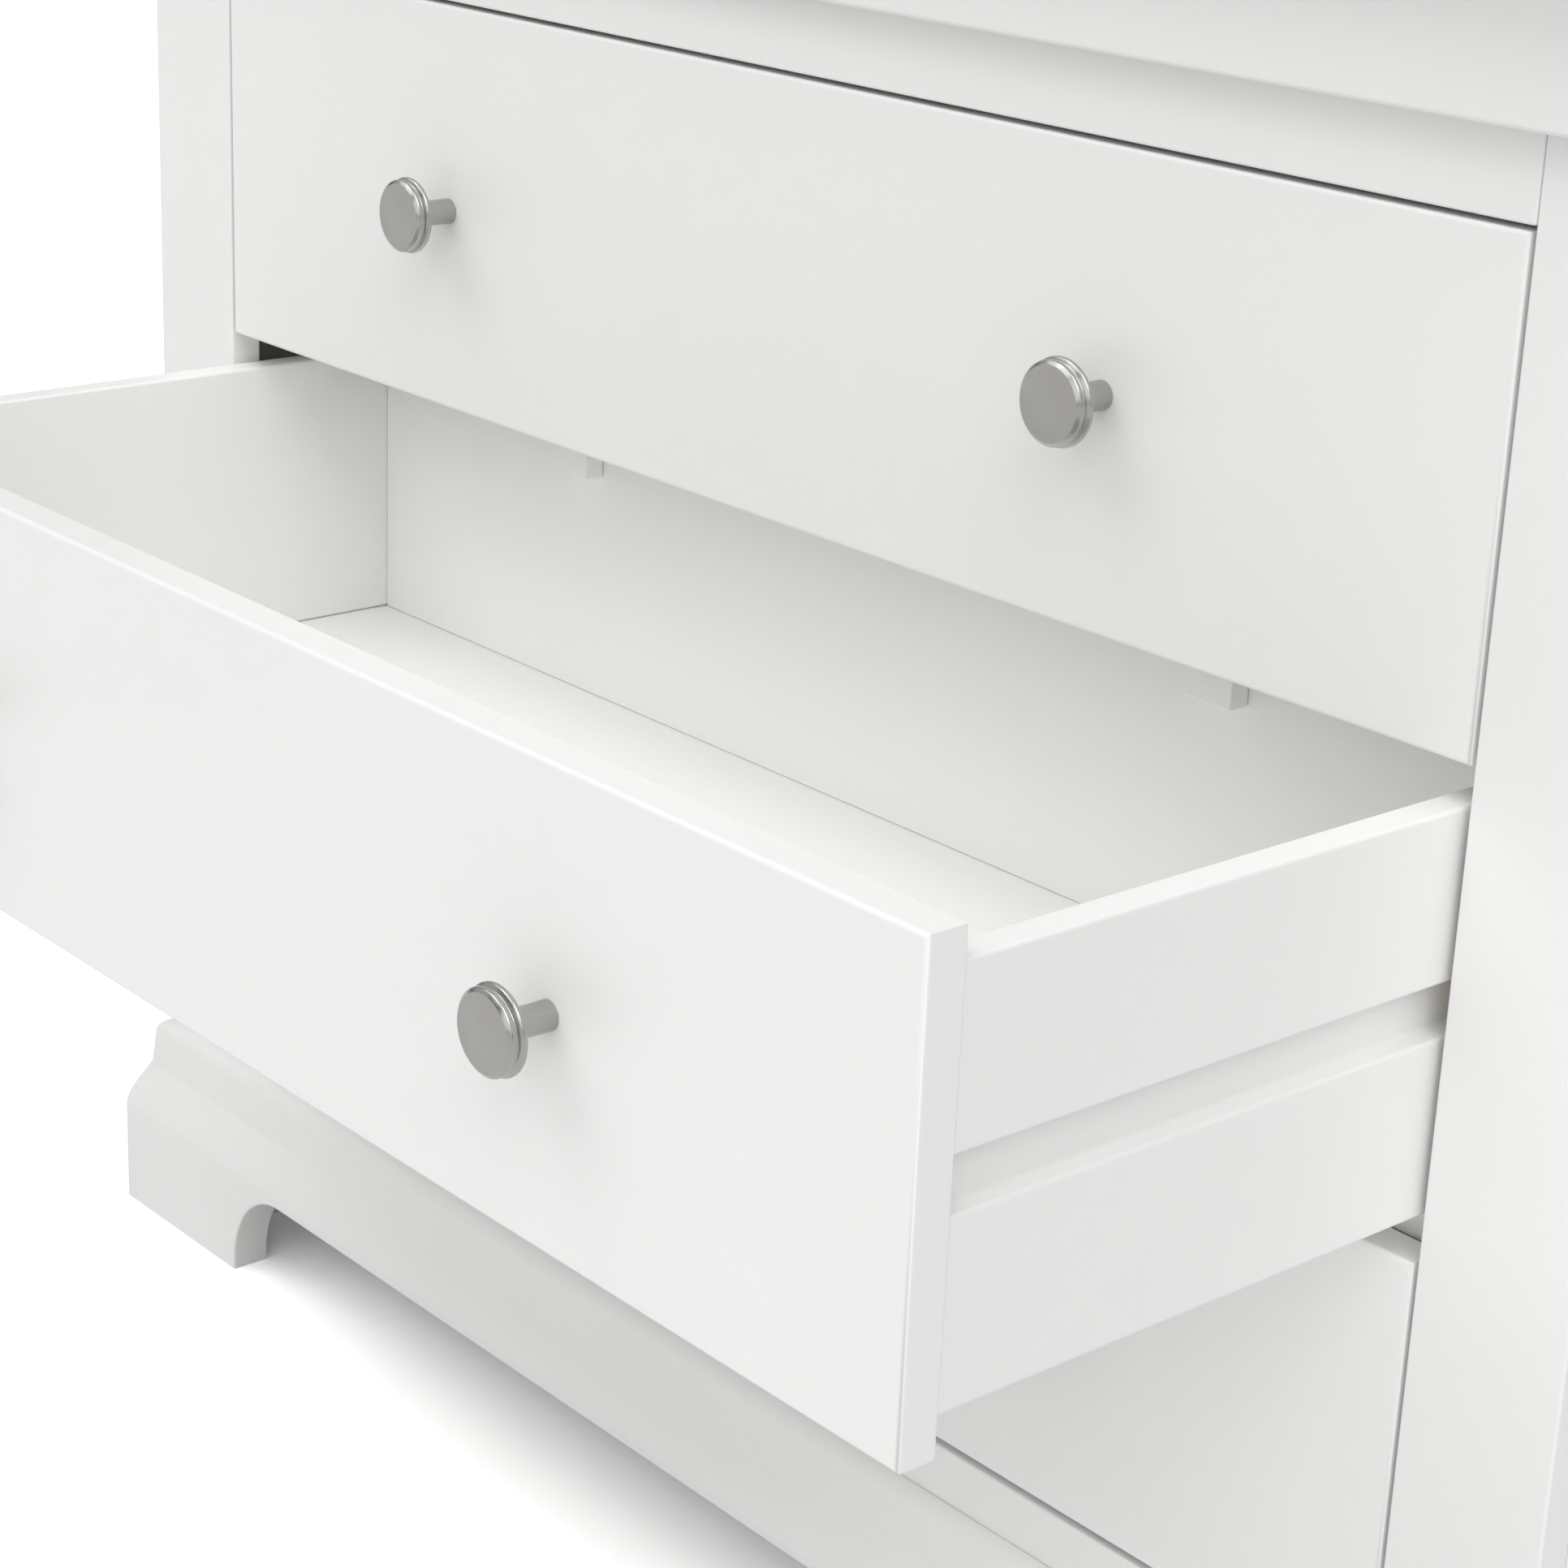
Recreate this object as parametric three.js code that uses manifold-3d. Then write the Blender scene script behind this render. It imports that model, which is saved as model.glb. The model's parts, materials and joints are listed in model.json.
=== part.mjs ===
// White painted chest of three drawers, with the middle drawer standing open.
// Millimetres, +Z up. X runs along the front, -Y faces the room, Z = 0 is the floor.
// The origin is under the centre of the whole object as it stands here, open drawer included.

import * as THREE from 'three';
import { mergeVertices } from 'three/addons/utils/BufferGeometryUtils.js';
import Module from 'manifold-3d';

const wasm = await Module();
wasm.setup();

// ---- Driving dimensions -------------------------------------------------------------------

const OPENING_WIDTH = 760;
const STILE_WIDTH = 65;
const CARCASS_DEPTH = 380;
const BACK_RECESS = 4;
const BOARD = 16;
const FIT_GAP = 0.3;
const PAINT_GAP = 0.2;

// Heights above the floor
const CARCASS_BOTTOM = 55;
const OPENING_BOTTOM = 129.5;
const CORNICE_BOTTOM = 700;
const CORNICE_TOP = 751.7;
const TOP_THICKNESS = 20;

// Overhangs beyond the faces of the carcass
const TOP_OVERHANG = 32;
const PLINTH_PROJECTION = 20;
const CORNICE_PROJECTION = 27;

// Plinth
const FOOT_WIDTH = 107;
const FOOT_HEIGHT = 51.5;
const FOOT_CURVE_WIDTH = 42;
const FOOT_CURVE_HEIGHT = 47;
const LEDGE_RADIUS = 7.7;
const CORNER_BLOCK = 45;

// Drawers
const FRONT_HEIGHT = 176.5;
const FRONT_GAP = 3;
const TOP_GAP = 2;
const FRONT_SIDE_GAP = 2;
const OPEN_DISTANCE = 241.5;
const DRAWER_LENGTH = 333;
const DRAWER_SIDE = 13;
const DRAWER_SIDE_GAP = 3;
const DRAWER_BACK = 12;
const SIDE_TOP_DROP = 11.8;
const SIDE_BOTTOM_RISE = 14;
const PANEL = 5;
const PANEL_RISE = 13.5;
const PANEL_HOUSING = 6;

// Runners and the grooves that hang on them
const GROOVE_HEIGHT = 20;
const GROOVE_DEPTH = 8;
const GROOVE_RISE = 67.5;
const RUNNER_HEIGHT = 18.6;
const RUNNER_TIP_GAP = 1;
const RUNNER_BACK = 366;

// Cross rails behind the fronts, and the stop blocks that they catch
const CROSS_RAIL_FRONT = 20;
const CROSS_RAIL_DEPTH = 25;
const CROSS_RAIL_HEIGHT = 17;
const CROSS_RAIL_DROP = 3;
const STOP_WIDTH = 25;
const STOP_THICKNESS = 10;
const STOP_BELOW_EDGE = 25.4;
const STOP_ENGAGEMENT = 4;

// Knobs
const KNOB_SPREAD = 200.3;
const KNOB_LENGTH = 27;
const STEM_RADIUS = 5.5;
const SCREW_RADIUS = 2;
const SCREW_HOLE_RADIUS = 2.4;
const SCREW_REACH = 8;
const SCREW_HEAD_RADIUS = 4.2;
const SCREW_HEAD_HEIGHT = 2.4;
const KNOB_SIDES = 20;
const SCREW_SIDES = 12;

// Worked out from the above
const HALF_OPENING = OPENING_WIDTH / 2;
const HALF_CARCASS = HALF_OPENING + STILE_WIDTH;
const HALF_INSIDE = HALF_CARCASS - BOARD - FIT_GAP;
const OPENING_TOP = OPENING_BOTTOM + 3 * (FRONT_GAP + FRONT_HEIGHT) + TOP_GAP;
const FRONT_PLANE_Y = (OPEN_DISTANCE + KNOB_LENGTH - CARCASS_DEPTH) / 2;
const DRAWER_HALF_WIDTH = HALF_OPENING - DRAWER_SIDE_GAP;
const DRAWER_HALF_INSIDE = DRAWER_HALF_WIDTH - DRAWER_SIDE;

const PAINT = { color: 0xebebe8, roughness: 0.42, metalness: 0 };
const INSIDE_PAINT = { color: 0xf3f3ee, roughness: 0.5, metalness: 0 };
const BARE_WOOD = { color: 0xd9c3a0, roughness: 0.75, metalness: 0 };
const NICKEL = { color: 0xa8a7a3, roughness: 0.3, metalness: 1 };
const SCREW_STEEL = { color: 0xb9bbbd, roughness: 0.35, metalness: 1 };

// ---- Solids -------------------------------------------------------------------------------

function boxBetween(low, high) {
  const size = high.map((value, axis) => value - low[axis]);
  const box = new THREE.BoxGeometry(...size);
  box.translate((low[0] + high[0]) / 2, (low[1] + high[1]) / 2, (low[2] + high[2]) / 2);
  return box;
}

function toSolid(geometry) {
  const bare = geometry.clone();
  bare.deleteAttribute('normal');
  bare.deleteAttribute('uv');
  const merged = mergeVertices(bare, 1e-4);
  const mesh = new wasm.Mesh({
    numProp: 3,
    vertProperties: new Float32Array(merged.attributes.position.array),
    triVerts: new Uint32Array(merged.index.array),
  });
  return new wasm.Manifold(mesh);
}

function cut(geometry, cutters) {
  const whole = cutters.reduce((solid, cutter) => solid.subtract(toSolid(cutter)), toSolid(geometry));
  const mesh = whole.getMesh();
  const result = new THREE.BufferGeometry();
  result.setAttribute('position', new THREE.BufferAttribute(new Float32Array(mesh.vertProperties), 3));
  result.setIndex(new THREE.BufferAttribute(new Uint32Array(mesh.triVerts), 1));
  return result;
}

function addPiece(group, name, geometry, finish) {
  const flat = geometry.index ? geometry.toNonIndexed() : geometry;
  flat.computeVertexNormals();
  const mesh = new THREE.Mesh(flat, new THREE.MeshStandardMaterial(finish));
  mesh.name = name;
  group.add(mesh);
  return mesh;
}

function addBoard(group, name, low, high, finish) {
  return addPiece(group, name, boxBetween(low, high), finish);
}

// ---- Mouldings: a section drawn as (projection, height) and run along the carcass -------------

function plinthSection() {
  const ogeeBottom = 54.5;
  const ogeeTop = 82;
  const ogeeSwell = [PLINTH_PROJECTION, 63];
  const ogeeHollow = [13.5, 73];
  const filletProjection = 9.5;
  const ledgeHeight = 98.5;
  const section = new THREE.Shape();
  section.moveTo(FIT_GAP, 0);
  section.lineTo(PLINTH_PROJECTION, 0);
  section.lineTo(PLINTH_PROJECTION, ogeeBottom);
  section.bezierCurveTo(...ogeeSwell, ...ogeeHollow, filletProjection, ogeeTop);
  section.lineTo(FIT_GAP + LEDGE_RADIUS, ledgeHeight);
  section.absarc(FIT_GAP, ledgeHeight, LEDGE_RADIUS, 0, Math.PI / 2, false);
  section.closePath();
  return section;
}

function corniceSection() {
  const nose = 10;
  const noseRound = 2;
  const fillet = 5;
  const coveFoot = [nose + 0.5, CORNICE_BOTTOM + 30];
  const coveHead = [nose + 5, CORNICE_TOP - fillet - 5];
  const section = new THREE.Shape();
  section.moveTo(FIT_GAP, CORNICE_BOTTOM);
  section.lineTo(nose - noseRound, CORNICE_BOTTOM);
  section.absarc(nose - noseRound, CORNICE_BOTTOM + noseRound, noseRound, -Math.PI / 2, 0, false);
  section.bezierCurveTo(...coveFoot, ...coveHead, CORNICE_PROJECTION, CORNICE_TOP - fillet);
  section.lineTo(CORNICE_PROJECTION, CORNICE_TOP - FIT_GAP);
  section.lineTo(FIT_GAP, CORNICE_TOP - FIT_GAP);
  section.closePath();
  return section;
}

// place(projection, atStart) gives the plan position of a section point at each end of the run.
function runMoulding(section, place) {
  const geometry = new THREE.ExtrudeGeometry(section, { depth: 1, bevelEnabled: false, curveSegments: 8 });
  const points = geometry.attributes.position;
  for (let i = 0; i < points.count; i += 1) {
    const [x, y] = place(points.getX(i), points.getZ(i) < 0.5);
    points.setXYZ(i, x, y, points.getY(i));
  }
  return geometry;
}

// Half of the mitre's gap is taken from each of the two pieces that meet there.
const MITRE_GAP = FIT_GAP / 2;

function frontRun(section) {
  return runMoulding(section, (out, atStart) => {
    const end = HALF_CARCASS + out - MITRE_GAP;
    return [atStart ? end : -end, -out];
  });
}

function sideRun(section, side) {
  return runMoulding(section, (out, atStart) => {
    const atFront = atStart === (side < 0);
    return [side * (HALF_CARCASS + out), atFront ? -out + MITRE_GAP : CARCASS_DEPTH];
  });
}

// The gap between two feet: an arch with a flat top, straight toes and curved corners.
function footCutter(halfGap) {
  const below = -1;
  const depth = 120;
  const springing = FOOT_HEIGHT - FOOT_CURVE_HEIGHT;
  const arch = new THREE.Shape();
  arch.moveTo(-halfGap, below);
  arch.lineTo(halfGap, below);
  arch.lineTo(halfGap, springing);
  const curve = [FOOT_CURVE_WIDTH, FOOT_CURVE_HEIGHT];
  const centre = halfGap - FOOT_CURVE_WIDTH;
  arch.absellipse(centre, springing, ...curve, 0, Math.PI / 2, false, 0);
  arch.absellipse(-centre, springing, ...curve, Math.PI / 2, Math.PI, false, 0);
  arch.closePath();
  const cutter = new THREE.ExtrudeGeometry(arch, { depth, bevelEnabled: false, curveSegments: 10 });
  cutter.translate(0, 0, -depth / 2);
  cutter.rotateX(Math.PI / 2);
  return cutter;
}

// ---- Carcass ------------------------------------------------------------------------------

function addCarcass(chest) {
  const panelBack = CARCASS_DEPTH - BACK_RECESS;
  for (const [side, hand] of [[-1, 'left'], [1, 'right']]) {
    const inner = side * HALF_OPENING;
    const outer = side * HALF_CARCASS;
    const panelInner = side * (HALF_CARCASS - BOARD);
    addBoard(chest, `stile_${hand}`,
      [Math.min(inner, outer), 0, CARCASS_BOTTOM],
      [Math.max(inner, outer), BOARD, CORNICE_TOP - FIT_GAP], PAINT);
    addBoard(chest, `side_panel_${hand}`,
      [Math.min(panelInner, outer), BOARD + FIT_GAP, CARCASS_BOTTOM],
      [Math.max(panelInner, outer), CARCASS_DEPTH, CORNICE_TOP - FIT_GAP], PAINT);
  }
  const railHalf = HALF_OPENING - FIT_GAP;
  addBoard(chest, 'top_rail', [-railHalf, 0, OPENING_TOP], [railHalf, BOARD, CORNICE_TOP - FIT_GAP], PAINT);
  addBoard(chest, 'bottom_rail', [-railHalf, 0, CARCASS_BOTTOM], [railHalf, BOARD, OPENING_BOTTOM], PAINT);
  addBoard(chest, 'base_panel',
    [-HALF_INSIDE, BOARD + FIT_GAP, OPENING_BOTTOM - BOARD],
    [HALF_INSIDE, RUNNER_BACK, OPENING_BOTTOM], INSIDE_PAINT);
  addBoard(chest, 'back_panel',
    [-HALF_INSIDE, panelBack - PANEL, CARCASS_BOTTOM + FIT_GAP],
    [HALF_INSIDE, panelBack, CORNICE_TOP - FIT_GAP], INSIDE_PAINT);
  const topHalf = HALF_CARCASS + TOP_OVERHANG;
  addBoard(chest, 'top_panel',
    [-topHalf, -TOP_OVERHANG, CORNICE_TOP],
    [topHalf, CARCASS_DEPTH, CORNICE_TOP + TOP_THICKNESS], PAINT);
}

function addCornice(chest) {
  const section = corniceSection();
  addPiece(chest, 'cornice_front', frontRun(section), PAINT);
  addPiece(chest, 'cornice_left', sideRun(section, -1), PAINT);
  addPiece(chest, 'cornice_right', sideRun(section, 1), PAINT);
}

function addPlinth(chest) {
  const section = plinthSection();
  const frontGap = HALF_CARCASS + PLINTH_PROJECTION - FOOT_WIDTH;
  const frontCutter = footCutter(frontGap);
  addPiece(chest, 'plinth_front', cut(frontRun(section), [frontCutter]), PAINT);

  const sideLength = CARCASS_DEPTH + PLINTH_PROJECTION;
  const sideMiddle = (CARCASS_DEPTH - PLINTH_PROJECTION) / 2;
  for (const [side, hand] of [[-1, 'left'], [1, 'right']]) {
    const cutter = footCutter(sideLength / 2 - FOOT_WIDTH);
    cutter.rotateZ(Math.PI / 2);
    cutter.translate(side * HALF_CARCASS, sideMiddle, 0);
    addPiece(chest, `plinth_${hand}`, cut(sideRun(section, side), [cutter]), PAINT);

    const blockOuter = side * HALF_CARCASS;
    const blockInner = side * (HALF_CARCASS - CORNER_BLOCK);
    addBoard(chest, `corner_block_${hand}`,
      [Math.min(blockInner, blockOuter), 0, 0],
      [Math.max(blockInner, blockOuter), CORNER_BLOCK, CARCASS_BOTTOM - FIT_GAP], INSIDE_PAINT);
  }

  const rear = boxBetween(
    [-HALF_CARCASS, CARCASS_DEPTH - BOARD, 0],
    [HALF_CARCASS, CARCASS_DEPTH, CARCASS_BOTTOM - FIT_GAP],
  );
  const rearCutter = footCutter(frontGap);
  rearCutter.translate(0, CARCASS_DEPTH, 0);
  addPiece(chest, 'plinth_back', cut(rear, [rearCutter]), PAINT);
}

// ---- Drawers ------------------------------------------------------------------------------

const SIDE_HEIGHT = FRONT_HEIGHT - SIDE_TOP_DROP - SIDE_BOTTOM_RISE;
const BACK_FACE = DRAWER_LENGTH - DRAWER_BACK;

function drawerFront() {
  const halfWidth = HALF_OPENING - FRONT_SIDE_GAP;
  const housingLow = SIDE_BOTTOM_RISE + PANEL_RISE - PAINT_GAP;
  const housingHalf = DRAWER_HALF_INSIDE + PANEL_HOUSING;
  const cutters = [
    boxBetween(
      [-housingHalf, BOARD - PANEL_HOUSING, housingLow],
      [housingHalf, BOARD + 1, housingLow + PANEL + 2 * PAINT_GAP],
    ),
  ];
  for (const side of [-1, 1]) {
    const hole = new THREE.CylinderGeometry(SCREW_HOLE_RADIUS, SCREW_HOLE_RADIUS, 3 * BOARD, SCREW_SIDES);
    hole.translate(side * KNOB_SPREAD, 0, FRONT_HEIGHT / 2);
    cutters.push(hole);
  }
  return cut(boxBetween([-halfWidth, 0, 0], [halfWidth, BOARD, FRONT_HEIGHT]), cutters);
}

// The outer face carries the runner groove, open at the back; the inner face houses the bottom.
function drawerSide(side) {
  const outer = side * DRAWER_HALF_WIDTH;
  const inner = side * DRAWER_HALF_INSIDE;
  const grooveBack = side * (DRAWER_HALF_WIDTH - GROOVE_DEPTH);
  const pastOuter = side * (DRAWER_HALF_WIDTH + 1);
  const pastInner = side * (DRAWER_HALF_INSIDE - 1);
  const housingBack = side * (DRAWER_HALF_INSIDE + PANEL_HOUSING);
  const frontEnd = BOARD + PAINT_GAP;
  const grooveLow = SIDE_BOTTOM_RISE + GROOVE_RISE;
  const housingLow = SIDE_BOTTOM_RISE + PANEL_RISE - PAINT_GAP;
  const board = boxBetween(
    [Math.min(outer, inner), frontEnd, SIDE_BOTTOM_RISE],
    [Math.max(outer, inner), DRAWER_LENGTH, SIDE_BOTTOM_RISE + SIDE_HEIGHT],
  );
  const runnerGroove = boxBetween(
    [Math.min(grooveBack, pastOuter), frontEnd - 1, grooveLow],
    [Math.max(grooveBack, pastOuter), DRAWER_LENGTH + 1, grooveLow + GROOVE_HEIGHT],
  );
  const housing = boxBetween(
    [Math.min(pastInner, housingBack), frontEnd - 1, housingLow],
    [Math.max(pastInner, housingBack), BACK_FACE + PANEL_HOUSING, housingLow + PANEL + 2 * PAINT_GAP],
  );
  return cut(board, [runnerGroove, housing]);
}

function drawerBack() {
  const half = DRAWER_HALF_INSIDE - PAINT_GAP;
  const housingLow = SIDE_BOTTOM_RISE + PANEL_RISE - PAINT_GAP;
  const board = boxBetween(
    [-half, BACK_FACE, SIDE_BOTTOM_RISE],
    [half, DRAWER_LENGTH, SIDE_BOTTOM_RISE + SIDE_HEIGHT],
  );
  const housing = boxBetween(
    [-half - 1, BACK_FACE - 1, housingLow],
    [half + 1, BACK_FACE + PANEL_HOUSING, housingLow + PANEL + 2 * PAINT_GAP],
  );
  return cut(board, [housing]);
}

// Turned about its own axis: (radius, distance from the drawer front).
function knob() {
  const holeDepth = SCREW_REACH + 1;
  const outline = [
    [0, holeDepth],
    [SCREW_HOLE_RADIUS, holeDepth],
    [SCREW_HOLE_RADIUS, PAINT_GAP],
    [STEM_RADIUS, PAINT_GAP],
    [STEM_RADIUS, 16],
    [7.5, 18.6],
    [15.4, 19.6],
    [16.4, 20.6],
    [16.4, 21.8],
    [15.6, 22.7],
    [14.6, 22.9],
    [14.6, 24],
    [15.5, 24.6],
    [15.5, 25.6],
    [14.2, KNOB_LENGTH],
    [0, KNOB_LENGTH],
  ].map(([radius, distance]) => new THREE.Vector2(radius, distance));
  const turned = new THREE.LatheGeometry(outline, KNOB_SIDES);
  turned.rotateX(Math.PI);
  return turned;
}

// A pan-headed machine screw, driven from inside the drawer into the knob.
function knobScrew() {
  const headFace = BOARD + PAINT_GAP + SCREW_HEAD_HEIGHT;
  const outline = [
    [0, -SCREW_REACH],
    [SCREW_RADIUS, -SCREW_REACH],
    [SCREW_RADIUS, BOARD + PAINT_GAP],
    [SCREW_HEAD_RADIUS, BOARD + PAINT_GAP],
    [SCREW_HEAD_RADIUS, headFace - 1],
    [SCREW_HEAD_RADIUS - 1.4, headFace],
    [0, headFace],
  ].map(([radius, distance]) => new THREE.Vector2(radius, distance));
  return new THREE.LatheGeometry(outline, SCREW_SIDES);
}

function stopBlock() {
  const top = FRONT_HEIGHT - CROSS_RAIL_DROP + STOP_ENGAGEMENT;
  const sideTop = SIDE_BOTTOM_RISE + SIDE_HEIGHT;
  return boxBetween(
    [-STOP_WIDTH / 2, BACK_FACE - PAINT_GAP - STOP_THICKNESS, sideTop - STOP_BELOW_EDGE],
    [STOP_WIDTH / 2, BACK_FACE - PAINT_GAP, top],
  );
}

function addDrawer(chest, place, floorOfFront, openBy) {
  const drawer = new THREE.Group();
  drawer.position.set(0, -openBy, floorOfFront);
  chest.add(drawer);

  addPiece(drawer, `drawer_front_${place}`, drawerFront(), PAINT);
  addPiece(drawer, `drawer_back_${place}`, drawerBack(), INSIDE_PAINT);

  const panelReach = PANEL_HOUSING - FIT_GAP;
  const panelHalf = DRAWER_HALF_INSIDE + panelReach;
  const panelLow = SIDE_BOTTOM_RISE + PANEL_RISE;
  addBoard(drawer, `drawer_bottom_${place}`,
    [-panelHalf, BOARD - panelReach, panelLow],
    [panelHalf, BACK_FACE + panelReach, panelLow + PANEL], INSIDE_PAINT);

  for (const [side, hand] of [[-1, 'left'], [1, 'right']]) {
    addPiece(drawer, `drawer_side_${place}_${hand}`, drawerSide(side), PAINT);
    const turned = addPiece(drawer, `knob_${place}_${hand}`, knob(), NICKEL);
    turned.position.set(side * KNOB_SPREAD, 0, FRONT_HEIGHT / 2);
    const screw = addPiece(drawer, `knob_screw_${place}_${hand}`, knobScrew(), SCREW_STEEL);
    screw.position.set(side * KNOB_SPREAD, 0, FRONT_HEIGHT / 2);
    const stop = addPiece(drawer, `stop_block_${place}_${hand}`, stopBlock(), INSIDE_PAINT);
    stop.position.x = side * KNOB_SPREAD;
  }
}

// What a drawer hangs on and is caught by, at the height of its own front.
function addDrawerSupports(chest, place, floorOfFront) {
  const railLow = floorOfFront + FRONT_HEIGHT - CROSS_RAIL_DROP;
  addBoard(chest, `cross_rail_${place}`,
    [-HALF_INSIDE, CROSS_RAIL_FRONT, railLow],
    [HALF_INSIDE, CROSS_RAIL_FRONT + CROSS_RAIL_DEPTH, railLow + CROSS_RAIL_HEIGHT], INSIDE_PAINT);

  const runnerTop = floorOfFront + SIDE_BOTTOM_RISE + GROOVE_RISE + GROOVE_HEIGHT - FIT_GAP;
  const tip = DRAWER_HALF_WIDTH - GROOVE_DEPTH + RUNNER_TIP_GAP;
  for (const [side, hand] of [[-1, 'left'], [1, 'right']]) {
    const near = side * tip;
    const far = side * HALF_INSIDE;
    addBoard(chest, `runner_${place}_${hand}`,
      [Math.min(near, far), BOARD + 1, runnerTop - RUNNER_HEIGHT],
      [Math.max(near, far), RUNNER_BACK, runnerTop], BARE_WOOD);
  }
}

// ---- Assembly -----------------------------------------------------------------------------

const group = new THREE.Group();
const chest = new THREE.Group();
chest.position.y = FRONT_PLANE_Y;
group.add(chest);

addCarcass(chest);
addCornice(chest);
addPlinth(chest);

const DRAWERS = [
  { place: 'bottom', openBy: 0 },
  { place: 'middle', openBy: OPEN_DISTANCE },
  { place: 'top', openBy: 0 },
];

DRAWERS.forEach(({ place, openBy }, level) => {
  const floorOfFront = OPENING_BOTTOM + FRONT_GAP + level * (FRONT_HEIGHT + FRONT_GAP);
  addDrawer(chest, place, floorOfFront, openBy);
  addDrawerSupports(chest, place, floorOfFront);
});

export default group;
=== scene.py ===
"""Looks of the white painted chest of three drawers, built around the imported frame."""

import json
import math

import bmesh
import bpy
from mathutils import Matrix, Vector


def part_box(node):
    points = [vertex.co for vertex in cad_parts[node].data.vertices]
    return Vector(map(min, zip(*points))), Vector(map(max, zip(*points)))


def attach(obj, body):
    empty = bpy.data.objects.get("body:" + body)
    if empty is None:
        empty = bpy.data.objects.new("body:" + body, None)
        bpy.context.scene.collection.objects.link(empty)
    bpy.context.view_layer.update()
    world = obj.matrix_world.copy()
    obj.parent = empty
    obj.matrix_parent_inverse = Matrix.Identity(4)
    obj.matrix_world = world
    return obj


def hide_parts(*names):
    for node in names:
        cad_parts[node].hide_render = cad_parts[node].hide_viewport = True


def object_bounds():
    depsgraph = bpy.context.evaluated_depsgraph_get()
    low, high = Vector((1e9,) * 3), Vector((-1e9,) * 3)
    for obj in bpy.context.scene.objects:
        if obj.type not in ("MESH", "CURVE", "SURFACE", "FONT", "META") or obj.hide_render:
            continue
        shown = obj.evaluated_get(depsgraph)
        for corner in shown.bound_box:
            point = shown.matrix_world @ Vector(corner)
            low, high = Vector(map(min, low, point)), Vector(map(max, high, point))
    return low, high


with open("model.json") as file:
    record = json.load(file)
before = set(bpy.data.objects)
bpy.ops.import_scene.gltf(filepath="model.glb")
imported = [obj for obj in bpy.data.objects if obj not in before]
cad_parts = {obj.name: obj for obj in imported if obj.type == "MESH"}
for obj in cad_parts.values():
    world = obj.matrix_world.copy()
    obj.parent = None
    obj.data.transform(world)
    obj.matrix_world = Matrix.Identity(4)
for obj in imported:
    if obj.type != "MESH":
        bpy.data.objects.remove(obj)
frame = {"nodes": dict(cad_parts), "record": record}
cad_low, cad_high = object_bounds()

PLACES = ("bottom", "middle", "top")
HANDS = ("left", "right")
MILLIMETRE = 0.001
COPLANAR = math.radians(0.5)
SHARP = math.radians(32)

# Edge rounding of each kind of board, in metres.
ROUNDING = {
    "top_panel": 0.0026,
    "side_panel": 0.0008,
    "stile": 0.0012,
    "top_rail": 0.0012,
    "bottom_rail": 0.0012,
    "plinth_back": 0.0012,
    "base_panel": 0.0005,
    "back_panel": 0.0004,
    "corner_block": 0.0010,
    "cross_rail": 0.0010,
    "runner": 0.0012,
    "drawer_side": 0.0015,
    "drawer_back": 0.0004,
    "drawer_bottom": 0.0002,
    "stop_block": 0.0008,
}
ROUNDING_STEPS = 4
FRONT_ROUNDING = 0.0017
FRONT_REAR_ROUNDING = 0.0006
MOULDING_ROUNDING = 0.0010
SAME_PLACE = 0.00005
WELD_DISTANCE = 0.00002
# How far a piece's larger faces outweigh its smaller ones in its smooth shading.
FACE_WEIGHT = 100
# Width along a mitre, and along a moulding's back, where edges stay crisp.
MITRE_BAND = 0.0008
AGAINST = 0.0005

KNOB_SIDES = 96
SCREW_SIDES = 96
FILLET_STEPS = 4

# Knob outline: radius and distance from the drawer front, then the rounding of that corner, in mm.
KNOB_OUTLINE = (
    (5.5, 0.0, 0.0),
    (5.5, 15.0, 2.0),
    (7.5, 18.6, 1.5),
    (15.2, 19.7, 1.2),
    (16.4, 20.5, 0.7),
    (16.4, 22.0, 0.7),
    (15.0, 22.8, 0.5),
    (14.4, 23.2, 0.3),
    (14.4, 24.1, 0.3),
    (15.6, 24.5, 0.4),
    (15.6, 25.9, 0.9),
    (14.0, 27.0, 1.0),
)
# Rings across the knob's front disc, as shares of its radius.
DISC_RINGS = (0.97, 0.6, 0.25, 0.05)

# The knob screw: where its head starts, as a share of its length; its shank's radius, as a share
# of its head's; and the radius at the root of its thread, as a share of its shank's.
SCREW_HEAD_SHARE = 0.82
SHANK_SHARE = 0.47
ROOT_SHARE = 0.86
# Thread pitch in metres, and the steps up the domed head as shares of a quarter turn.
THREAD_PITCH = 0.0007
DOME_STEPS = (0.2, 0.4, 0.6, 0.8, 0.92)
# Arm length and half width of the cross recess at its rim and lower down, as shares of the
# head's radius.
RECESS_RIM = (0.52, 0.13)
RECESS_LOW = (0.36, 0.08)
SCREW_SHARP = math.radians(50)


# ---------------------------------------------------------------- node graphs


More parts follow.
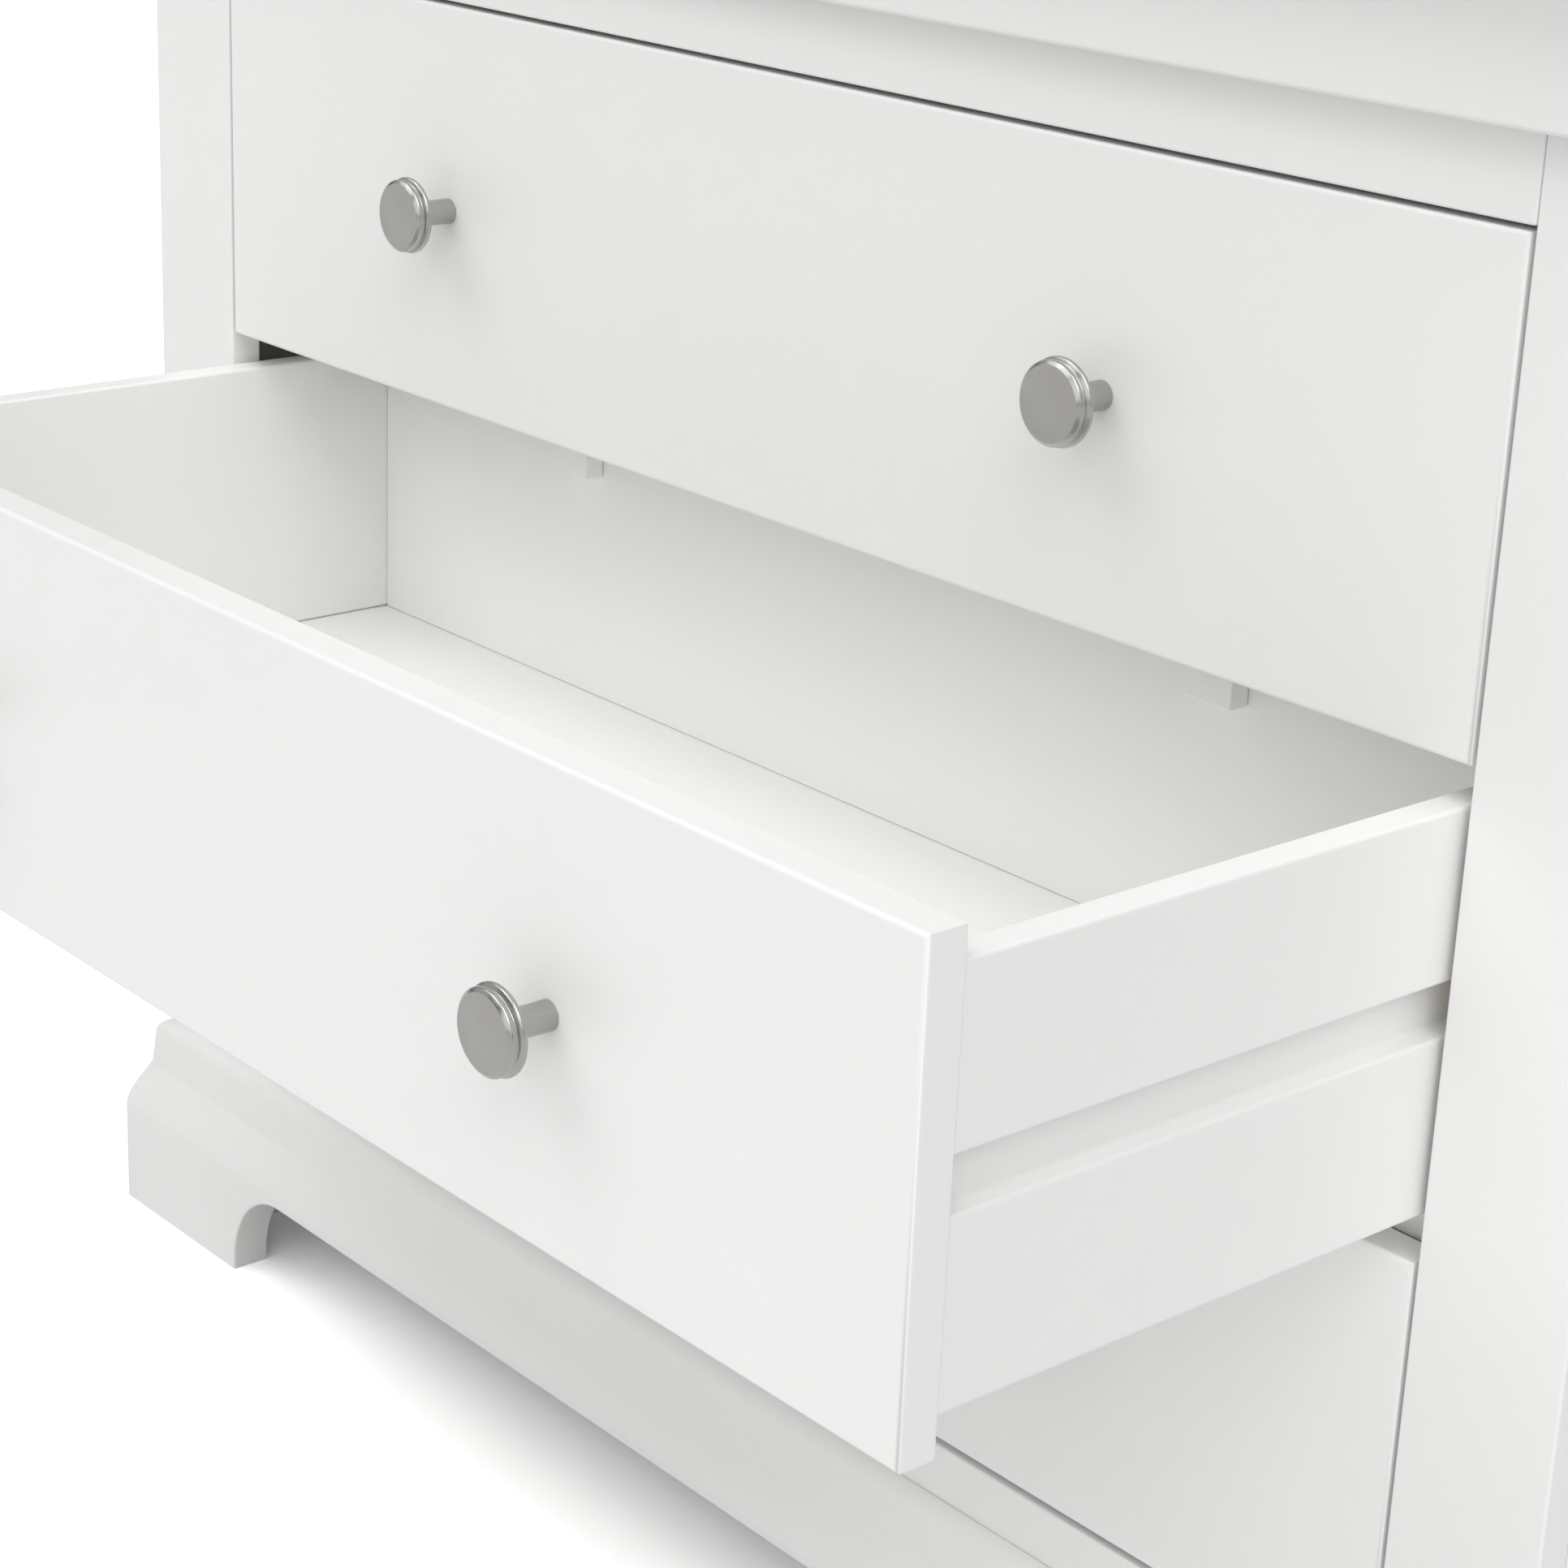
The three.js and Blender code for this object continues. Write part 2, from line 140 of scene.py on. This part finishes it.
class Graph:
    """A material made of nodes, with the piece's own coordinates as its place."""

    def __init__(self, name):
        self.material = bpy.data.materials.new(name)
        self.material.use_nodes = True
        self.tree = self.material.node_tree
        self.shader = self.tree.nodes["Principled BSDF"]
        self.place = self.tree.nodes.new("ShaderNodeTexCoord").outputs["Object"]

    def feed(self, socket, value):
        if isinstance(value, bpy.types.NodeSocket):
            self.tree.links.new(value, socket)
        else:
            socket.default_value = value

    def node(self, kind, settings=None, **inputs):
        made = self.tree.nodes.new(kind)
        for key, value in (settings or {}).items():
            setattr(made, key, value)
        for key, value in inputs.items():
            self.feed(made.inputs[key.replace("_", " ")], value)
        return made

    def noise(self, scale, detail=2.0, roughness=0.5, place=None, distortion=0.0):
        made = self.node(
            "ShaderNodeTexNoise",
            Vector=place or self.place,
            Scale=scale,
            Detail=detail,
            Roughness=roughness,
            Distortion=distortion,
        )
        return made.outputs["Fac"]

    def ramp(self, value, low, high, out_low, out_high):
        made = self.node("ShaderNodeMapRange", Value=value)
        for key, number in zip(
            ("From Min", "From Max", "To Min", "To Max"), (low, high, out_low, out_high)
        ):
            made.inputs[key].default_value = number
        return made.outputs["Result"]

    def mix(self, share, first, second):
        made = self.node("ShaderNodeMix", {"data_type": "RGBA"})
        self.feed(made.inputs["Factor"], share)
        colours = [s for s in made.inputs if s.type == "RGBA"]
        for socket, colour in zip(colours, (first, second)):
            self.feed(socket, (*colour, 1.0) if isinstance(colour, tuple) else colour)
        return next(s for s in made.outputs if s.type == "RGBA")

    def stretch(self, factors):
        made = self.node("ShaderNodeVectorMath", {"operation": "MULTIPLY"})
        self.feed(made.inputs[0], self.place)
        made.inputs[1].default_value = factors
        return made.outputs["Vector"]

    def bump(self, height, distance, below=None):
        made = self.node("ShaderNodeBump", Height=height, Distance=distance)
        if below:
            self.feed(made.inputs["Normal"], below)
        return made.outputs["Normal"]

    def finish(self, **inputs):
        for key, value in inputs.items():
            if isinstance(value, tuple):
                value = (*value, 1.0)
            self.feed(self.shader.inputs[key.replace("_", " ")], value)
        return self.material


def sprayed_paint(name, light, deep, gloss, peel):
    """Sprayed paint on board: faint tone drift, orange peel and a slow ripple of the board."""
    g = Graph(name)
    drift = g.ramp(g.noise(3.5, 3.0, 0.55), 0.3, 0.7, 0.0, 1.0)
    mottle = g.ramp(g.noise(55.0, 2.0), 0.3, 0.7, 0.0, 0.35)
    share = g.node("ShaderNodeMath", {"operation": "ADD", "use_clamp": True})
    g.feed(share.inputs[0], drift)
    g.feed(share.inputs[1], mottle)
    colour = g.mix(share.outputs[0], light, deep)
    sheen = g.ramp(g.noise(38.0, 3.0), 0.3, 0.7, *gloss)
    ripple = g.bump(g.noise(22.0, 1.0), 0.00006)
    skin = g.bump(g.noise(620.0, 2.0, 0.45), peel, ripple)
    return g.finish(Base_Color=colour, Roughness=sheen, Normal=skin)


def planed_wood(name, along):
    """Planed softwood with its grain along one axis: growth rings, streaks and fine pores."""
    g = Graph(name)
    slow = [14.0, 14.0, 14.0]
    slow[along] = 1.1
    fine = [620.0, 620.0, 620.0]
    fine[along] = 14.0
    rings = g.node(
        "ShaderNodeTexWave",
        {"wave_type": "RINGS", "rings_direction": "XYZ"[along]},
        Vector=g.stretch(slow),
        Scale=2.6,
        Distortion=4.5,
        Detail=2.0,
    ).outputs["Fac"]
    pores = g.noise(1.0, 2.0, 0.6, g.stretch(fine))
    growth = g.mix(rings, (0.74, 0.60, 0.42), (0.60, 0.43, 0.26))
    colour = g.mix(g.ramp(pores, 0.35, 0.7, 0.0, 0.4), growth, (0.50, 0.36, 0.22))
    relief = g.bump(rings, 0.00008, g.bump(pores, 0.00005))
    return g.finish(
        Base_Color=colour,
        Roughness=g.ramp(pores, 0.3, 0.7, 0.55, 0.75),
        Normal=relief,
    )


def turned_metal(name, light, deep, gloss, groove):
    """Metal turned on a lathe round the piece's own Y axis, so its marks run round it."""
    g = Graph(name)
    flat = g.node("ShaderNodeVectorMath", {"operation": "LENGTH"})
    g.feed(flat.inputs[0], g.stretch((1.0, 0.0, 1.0)))
    parts = g.node("ShaderNodeSeparateXYZ", Vector=g.place)
    rings = g.node(
        "ShaderNodeCombineXYZ", X=flat.outputs["Value"], Y=parts.outputs["Y"]
    ).outputs["Vector"]
    marks = g.noise(5200.0, 2.0, 0.6, rings)
    cloud = g.ramp(g.noise(90.0, 2.0), 0.3, 0.7, 0.0, 1.0)
    return g.finish(
        Base_Color=g.mix(cloud, light, deep),
        Metallic=1.0,
        Roughness=g.ramp(marks, 0.3, 0.7, *gloss),
        Normal=g.bump(marks, groove),
    )


PAINT = sprayed_paint(
    "white_paint", (0.885, 0.886, 0.877), (0.870, 0.871, 0.861), (0.36, 0.46), 0.000006
)
# Inside paint: its warmer tint is its own, but its extra lightness over the outside white is painted
# light that brightens the shaded insides of the drawers and carcass.
LIT_INSIDE_PAINT = sprayed_paint(
    "inside_paint", (0.950, 0.951, 0.928), (0.940, 0.941, 0.918), (0.5, 0.62), 0.000009
)
NICKEL = turned_metal(
    "satin_nickel", (0.465, 0.458, 0.445), (0.435, 0.428, 0.415), (0.19, 0.27), 0.0000009
)
STEEL = turned_metal(
    "screw_steel", (0.55, 0.56, 0.57), (0.46, 0.47, 0.48), (0.3, 0.42), 0.0000012
)
WOOD = [planed_wood(f"bare_wood_{letter}", n) for n, letter in enumerate("xyz")]


def finish_for(slot, low, high):
    """The material of a slot; bare wood has its grain along the piece's longest side."""
    if slot == "bare_wood":
        size = high - low
        return WOOD[max(range(3), key=lambda n: size[n])]
    return {
        "white_paint": PAINT,
        "inside_paint": LIT_INSIDE_PAINT,
        "satin_nickel": NICKEL,
        "screw_steel": STEEL,
    }[slot]


# ---------------------------------------------------------------- pieces


def slots_of(record):
    return {part["node"]: part["material_slot"] for part in record["subparts"]}


def wear(obj, material):
    obj.data.materials.clear()
    obj.data.materials.append(material)


def soften(obj, radius):
    """Rounds a board's edges and keeps its faces flat."""
    if obj.data.attributes.get("custom_normal"):
        obj.data.attributes.remove(obj.data.attributes["custom_normal"])
    obj.data.shade_smooth()
    for edge in obj.data.edges:
        edge.use_edge_sharp = False
    weld = obj.modifiers.new("weld", "WELD")
    weld.merge_threshold = WELD_DISTANCE
    flat = obj.modifiers.new("flat", "DECIMATE")
    flat.decimate_type = "DISSOLVE"
    flat.angle_limit = COPLANAR
    bevel = obj.modifiers.new("round", "BEVEL")
    bevel.width = radius
    bevel.segments = ROUNDING_STEPS
    bevel.limit_method = "ANGLE"
    bevel.angle_limit = SHARP
    bevel.harden_normals = False
    weighted = obj.modifiers.new("shade", "WEIGHTED_NORMAL")
    weighted.weight = FACE_WEIGHT


def rounding_of(node):
    return next(size for kind, size in ROUNDING.items() if node.startswith(kind))


def mesh_object(name, bm):
    mesh = bpy.data.meshes.new(name)
    bm.to_mesh(mesh)
    bm.free()
    mesh.shade_smooth()
    obj = bpy.data.objects.new(name, mesh)
    bpy.context.scene.collection.objects.link(obj)
    return obj


def stand_for(obj, node, body, material):
    wear(obj, material)
    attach(obj, body)
    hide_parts(node)


def clean_copy(node):
    """The node's surface with joined corners and whole faces, ready for its edges to be rounded."""
    bm = bmesh.new()
    bm.from_mesh(frame["nodes"][node].data)
    bmesh.ops.remove_doubles(bm, verts=bm.verts, dist=SAME_PLACE)
    bmesh.ops.dissolve_limit(bm, angle_limit=COPLANAR, verts=bm.verts, edges=bm.edges)
    return bm


def round_edges(bm, radius, chosen):
    """Rounds the sharp edges whose two ends both satisfy chosen."""
    edges = [
        e
        for e in bm.edges
        if len(e.link_faces) == 2
        and e.calc_face_angle(0.0) > SHARP
        and all(chosen(v.co) for v in e.verts)
    ]
    bmesh.ops.bevel(
        bm,
        geom=edges,
        offset=radius,
        offset_type="OFFSET",
        segments=ROUNDING_STEPS,
        profile=0.5,
        affect="EDGES",
        clamp_overlap=True,
    )


def shade(obj):
    """Flat faces stay flat, roundings shade smoothly, and edges left square stay square."""
    obj.data.set_sharp_from_angle(angle=SHARP)
    weighted = obj.modifiers.new("shade", "WEIGHTED_NORMAL")
    weighted.keep_sharp = True
    weighted.weight = FACE_WEIGHT


def rounded_front(place):
    """A drawer front: its face edges well rounded, its rear edges only eased."""
    node = f"drawer_front_{place}"
    low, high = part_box(node)

    def on_outline(co):
        return min(co.x - low.x, high.x - co.x, co.z - low.z, high.z - co.z) < SAME_PLACE

    bm = clean_copy(node)
    round_edges(bm, FRONT_ROUNDING, lambda co: on_outline(co) and co.y < low.y + SAME_PLACE)
    round_edges(
        bm, FRONT_REAR_ROUNDING, lambda co: on_outline(co) and co.y > high.y - SAME_PLACE
    )
    obj = mesh_object(f"front_board_{place}", bm)
    shade(obj)
    stand_for(obj, node, f"drawer_{place}", PAINT)


def eased_moulding(node):
    """A run of moulding with its outer edges eased; its mitres and its back stay crisp."""
    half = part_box("stile_right")[1].x
    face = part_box("stile_right")[0].y

    def outside(co):
        on_mitre = abs(abs(co.x) - half + co.y - face) < MITRE_BAND
        against = co.y > face - AGAINST if node.endswith("front") else abs(co.x) < half + AGAINST
        return not on_mitre and not against

    bm = clean_copy(node)
    round_edges(bm, MOULDING_ROUNDING, outside)
    obj = mesh_object(f"moulding_{node}", bm)
    shade(obj)
    stand_for(obj, node, "carcass", PAINT)


def with_fillets(outline):
    """The outline's points, with each corner turned on an arc-like curve of its rounding."""
    points = [Vector((r, d)) for r, d, _ in outline]
    made = [points[0]]
    for before, here, after, (_, _, size) in zip(
        points, points[1:], points[2:], outline[1:]
    ):
        reach = min(size, (before - here).length * 0.45, (after - here).length * 0.45)
        start = here + (before - here).normalized() * reach
        end = here + (after - here).normalized() * reach
        for step in range(FILLET_STEPS + 1):
            t = step / FILLET_STEPS
            made.append(
                start * (1 - t) ** 2 + here * 2 * t * (1 - t) + end * t * t
            )
    made.append(points[-1])
    return made


def turn_rings(bm, rings, sides):
    """Joins rings of points, each given by a radius function and a distance, along -Y."""
    loops = []
    for radius, distance in rings:
        loop = []
        for n in range(sides):
            angle = 2 * math.pi * n / sides
            r = radius(angle)
            loop.append(
                bm.verts.new((r * math.cos(angle), -distance, r * math.sin(angle)))
            )
        loops.append(loop)
    for first, second in zip(loops, loops[1:]):
        for n in range(sides):
            m = (n + 1) % sides
            bm.faces.new((first[n], first[m], second[m], second[n]))
    bm.faces.new(loops[-1])
    bm.faces.new(tuple(reversed(loops[0])))
    bmesh.ops.recalc_face_normals(bm, faces=bm.faces)


def plain(radius):
    """A circle: the same radius at every angle."""
    return lambda angle: radius


def turned_knob(place, hand):
    """A turned knob: stem, flared neck, rear flange, step and front disc."""
    node = f"knob_{place}_{hand}"
    low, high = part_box(node)
    outline = [p * MILLIMETRE for p in with_fillets(KNOB_OUTLINE)]
    widen = (high.x - low.x) / 2 / max(p.x for p in outline)
    lengthen = (high.y - low.y) / outline[-1].y
    last = outline[-1]
    rings = [(plain(p.x * widen), p.y * lengthen) for p in outline]
    rings += [
        (plain(last.x * widen * share), last.y * lengthen)
        for share in DISC_RINGS
    ]
    bm = bmesh.new()
    turn_rings(bm, rings, KNOB_SIDES)
    obj = mesh_object(f"turned_knob_{place}_{hand}", bm)
    obj.data.set_sharp_from_angle(angle=SHARP)
    obj.location = ((low.x + high.x) / 2, high.y, (low.z + high.z) / 2)
    stand_for(obj, node, f"drawer_{place}", NICKEL)


def cross_radius(arm, half_width):
    """Distance to the edge of a cross-shaped recess at an angle round its middle."""

    def reach(angle, long, short):
        c, s = abs(math.cos(angle)), abs(math.sin(angle))
        return min(long / max(c, 1e-6), short / max(s, 1e-6))

    return lambda angle: max(
        reach(angle, arm, half_width), reach(angle + math.pi / 2, arm, half_width)
    )


def pan_head_screw(place, hand):
    """A machine screw from inside the drawer: threaded shank, domed head, cross recess."""
    node = f"knob_screw_{place}_{hand}"
    low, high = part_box(node)
    head = (high.x - low.x) / 2
    length = high.y - low.y
    shank = head * SHANK_SHARE
    root = shank * ROOT_SHARE
    head_base = length * SCREW_HEAD_SHARE
    rings = [(plain(root * 0.6), 0.0), (plain(root), root * 0.4)]
    d = root * 0.4
    while d + THREAD_PITCH < head_base - THREAD_PITCH:
        rings += [
            (plain(shank), d + THREAD_PITCH * 0.4),
            (plain(shank), d + THREAD_PITCH * 0.55),
            (plain(root), d + THREAD_PITCH * 0.95),
        ]
        d += THREAD_PITCH
    rings += [
        (plain(root), head_base),
        (plain(head * 0.96), head_base),
        (plain(head), head_base + (length - head_base) * 0.12),
    ]
    dome = length - head_base
    for share in DOME_STEPS:
        angle = share * math.pi / 2
        rings.append(
            (
                plain(head * (0.72 + 0.28 * math.cos(angle))),
                head_base + dome * (0.12 + 0.82 * math.sin(angle)),
            )
        )
    rings.append((plain(head * 0.66), head_base + dome * 0.985))
    rim, low_down = (
        cross_radius(head * arm, head * half_width) for arm, half_width in (RECESS_RIM, RECESS_LOW)
    )
    rings.append((rim, length))
    rings.append((low_down, length - dome * 0.7))
    rings.append((plain(head * 0.03), length - dome * 0.85))
    bm = bmesh.new()
    turn_rings(bm, rings, SCREW_SIDES)
    obj = mesh_object(f"pan_screw_{place}_{hand}", bm)
    for vertex in obj.data.vertices:
        vertex.co.y = -vertex.co.y
    obj.data.flip_normals()
    obj.location = ((low.x + high.x) / 2, low.y, (low.z + high.z) / 2)
    obj.data.set_sharp_from_angle(angle=SCREW_SHARP)
    stand_for(obj, node, f"drawer_{place}", STEEL)


MOULDINGS = [
    f"{kind}_{side}"
    for kind in ("plinth", "cornice")
    for side in ("front", "left", "right")
]

slots = slots_of(frame["record"])
for node, obj in frame["nodes"].items():
    if node.startswith(("drawer_front", "knob")) or node in MOULDINGS:
        continue
    soften(obj, rounding_of(node))
    wear(obj, finish_for(slots[node], *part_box(node)))

for node in MOULDINGS:
    eased_moulding(node)

for place in PLACES:
    rounded_front(place)
    for hand in HANDS:
        turned_knob(place, hand)
        pan_head_screw(place, hand)


# ---------------------------------------------------------------- studio

# Name, azimuth and elevation in degrees, what it adds to a white sheet facing it,
# and its spread in degrees.
SOFT_LIGHTS = (
    ("top", 0, 86, 0.11, 50),
    ("key", 60, 52, 0.35, 40),
    ("key_low", 60, 22, 0.12, 40),
    ("front_low", 20, 22, 0.14, 40),
    ("front_left", -20, 52, 0.20, 40),
    ("fill", -60, 52, 0.12, 40),
    ("fill_low", -60, 22, 0.05, 40),
    ("behind", 170, 55, 0.08, 40),
)
FLOOR_SIZE = 40.0
FLOOR_WHITE = 0.8
FLOOR_EXPOSURE = 2.12
ROOM_LIGHT = 0.2

# The camera: lens and sensor in mm, place in metres, and its turns in degrees.
LENS = 79.246
SENSOR = 36.0
CAMERA_PLACE = (1.03482, -0.93207, 0.85835)
YAW, PITCH, ROLL = (math.radians(turn) for turn in (48.677, 19.664, 2.466))


def studio_floor():
    """A pale floor, exposed over white to the lens but an ordinary white to the object."""
    bm = bmesh.new()
    bmesh.ops.create_circle(bm, cap_ends=True, segments=64, radius=FLOOR_SIZE)
    floor = mesh_object("studio_floor", bm)
    floor.location = (0, 0, cad_low.z)
    g = Graph("studio_floor")
    to_lens = g.node("ShaderNodeLightPath").outputs["Is Camera Ray"]
    tone = g.mix(to_lens, (FLOOR_WHITE,) * 3, (FLOOR_WHITE * FLOOR_EXPOSURE,) * 3)
    diffuse = g.node("ShaderNodeBsdfDiffuse", Color=tone)
    g.tree.links.new(diffuse.outputs[0], g.tree.nodes["Material Output"].inputs["Surface"])
    wear(floor, g.material)


def studio_world():
    """A white backdrop to the lens, and a dim even room to the object."""
    world = bpy.data.worlds.new("studio")
    world.use_nodes = True
    tree = world.node_tree
    to_lens = tree.nodes.new("ShaderNodeLightPath").outputs["Is Camera Ray"]
    level = tree.nodes.new("ShaderNodeMapRange")
    level.inputs["To Min"].default_value = ROOM_LIGHT
    level.inputs["To Max"].default_value = 1.0
    tree.links.new(to_lens, level.inputs["Value"])
    tree.links.new(level.outputs["Result"], tree.nodes["Background"].inputs["Strength"])
    tree.nodes["Background"].inputs["Color"].default_value = (1.0, 1.0, 1.0, 1.0)
    bpy.context.scene.world = world


def soft_light(name, azimuth, elevation, share, spread):
    """A distant soft light from an azimuth and elevation; share is what it adds to a white sheet."""
    data = bpy.data.lights.new(name, "SUN")
    data.energy = share * math.pi
    data.angle = math.radians(spread)
    light = bpy.data.objects.new(name, data)
    bpy.context.scene.collection.objects.link(light)
    a, e = math.radians(azimuth), math.radians(elevation)
    back = Vector((math.sin(a) * math.cos(e), -math.cos(a) * math.cos(e), math.sin(e)))
    light.rotation_mode = "QUATERNION"
    light.rotation_quaternion = back.to_track_quat("Z", "Y")


def studio_camera():
    """The photograph's viewpoint: turned left by YAW, tipped down by PITCH, then rolled."""
    data = bpy.data.cameras.new("camera")
    data.lens = LENS
    data.sensor_width = SENSOR
    camera = bpy.data.objects.new("camera", data)
    bpy.context.scene.collection.objects.link(camera)
    forward = Vector(
        (
            -math.sin(YAW) * math.cos(PITCH),
            math.cos(YAW) * math.cos(PITCH),
            -math.sin(PITCH),
        )
    )
    right = Vector((math.cos(YAW), math.sin(YAW), 0.0))
    up = right.cross(forward)
    turned_right = right * math.cos(ROLL) + up * math.sin(ROLL)
    turned_up = up * math.cos(ROLL) - right * math.sin(ROLL)
    turn = Matrix((turned_right, turned_up, -forward)).transposed().to_4x4()
    camera.matrix_world = Matrix.Translation(CAMERA_PLACE) @ turn
    bpy.context.scene.camera = camera


bpy.context.scene.view_settings.view_transform = "Standard"
studio_floor()
studio_world()
for name, azimuth, elevation, share, spread in SOFT_LIGHTS:
    soft_light(name, azimuth, elevation, share, spread)
studio_camera()
